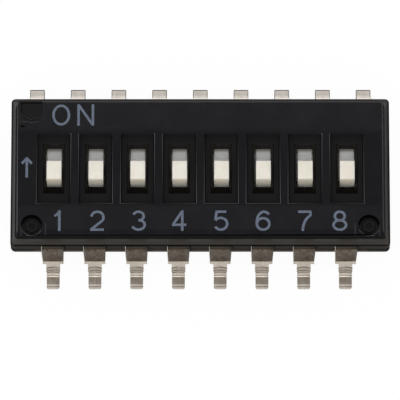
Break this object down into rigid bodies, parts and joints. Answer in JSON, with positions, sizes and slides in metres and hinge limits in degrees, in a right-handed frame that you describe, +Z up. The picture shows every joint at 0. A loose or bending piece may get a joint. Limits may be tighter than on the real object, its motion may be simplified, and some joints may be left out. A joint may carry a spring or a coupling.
{
  "type": "dip switch",
  "caption": "Low surface-mount slide DIP switch: black housing with recessed white sliders, printed ON and position numbers, and gull-wing leads along both long sides.",
  "frame": {"origin": "centre of the footprint on the solder plane, under the feet", "axes": "+X along the row from position 1 to position 8, +Y towards the ON side, +Z up out of the board"},
  "size_m": [0.023, 0.0128, 0.0038],
  "materials": {
    "cover_plastic": "moulded black thermoplastic, fine satin texture",
    "base_plastic": "moulded black thermoplastic, satin",
    "slider_plastic": "warm white moulded thermoplastic, satin",
    "terminal_tin": "tinned copper alloy strip, satin",
    "contact_gold": "gold-plated spring strip"
  },
  "bodies": {
    "housing": {"cover": "cover_plastic", "base": "base_plastic", "front_terminal_1": "terminal_tin", "front_terminal_2": "terminal_tin", "front_terminal_3": "terminal_tin", "front_terminal_4": "terminal_tin", "front_terminal_5": "terminal_tin", "front_terminal_6": "terminal_tin", "front_terminal_7": "terminal_tin", "front_terminal_8": "terminal_tin", "rear_terminal_1": "terminal_tin", "rear_terminal_2": "terminal_tin", "rear_terminal_3": "terminal_tin", "rear_terminal_4": "terminal_tin", "rear_terminal_5": "terminal_tin", "rear_terminal_6": "terminal_tin", "rear_terminal_7": "terminal_tin", "rear_terminal_8": "terminal_tin", "rear_terminal_9": "terminal_tin"},
    "slider_1": {"slider_1": "slider_plastic", "contact_bridge_1": "contact_gold"},
    "slider_2": {"slider_2": "slider_plastic", "contact_bridge_2": "contact_gold"},
    "slider_3": {"slider_3": "slider_plastic", "contact_bridge_3": "contact_gold"},
    "slider_4": {"slider_4": "slider_plastic", "contact_bridge_4": "contact_gold"},
    "slider_5": {"slider_5": "slider_plastic", "contact_bridge_5": "contact_gold"},
    "slider_6": {"slider_6": "slider_plastic", "contact_bridge_6": "contact_gold"},
    "slider_7": {"slider_7": "slider_plastic", "contact_bridge_7": "contact_gold"},
    "slider_8": {"slider_8": "slider_plastic", "contact_bridge_8": "contact_gold"}
  },
  "joints": [
    {"name": "slide_1", "type": "slide", "parent": "housing", "child": "slider_1", "axis": [0, 1, 0], "range_m": [0, 0.0011]},
    {"name": "slide_2", "type": "slide", "parent": "housing", "child": "slider_2", "axis": [0, 1, 0], "range_m": [0, 0.0011]},
    {"name": "slide_3", "type": "slide", "parent": "housing", "child": "slider_3", "axis": [0, 1, 0], "range_m": [0, 0.0011]},
    {"name": "slide_4", "type": "slide", "parent": "housing", "child": "slider_4", "axis": [0, 1, 0], "range_m": [0, 0.0011]},
    {"name": "slide_5", "type": "slide", "parent": "housing", "child": "slider_5", "axis": [0, 1, 0], "range_m": [0, 0.0011]},
    {"name": "slide_6", "type": "slide", "parent": "housing", "child": "slider_6", "axis": [0, 1, 0], "range_m": [0, 0.0011]},
    {"name": "slide_7", "type": "slide", "parent": "housing", "child": "slider_7", "axis": [0, 1, 0], "range_m": [0, 0.0011]},
    {"name": "slide_8", "type": "slide", "parent": "housing", "child": "slider_8", "axis": [0, 1, 0], "range_m": [0, 0.0011]}
  ]
}
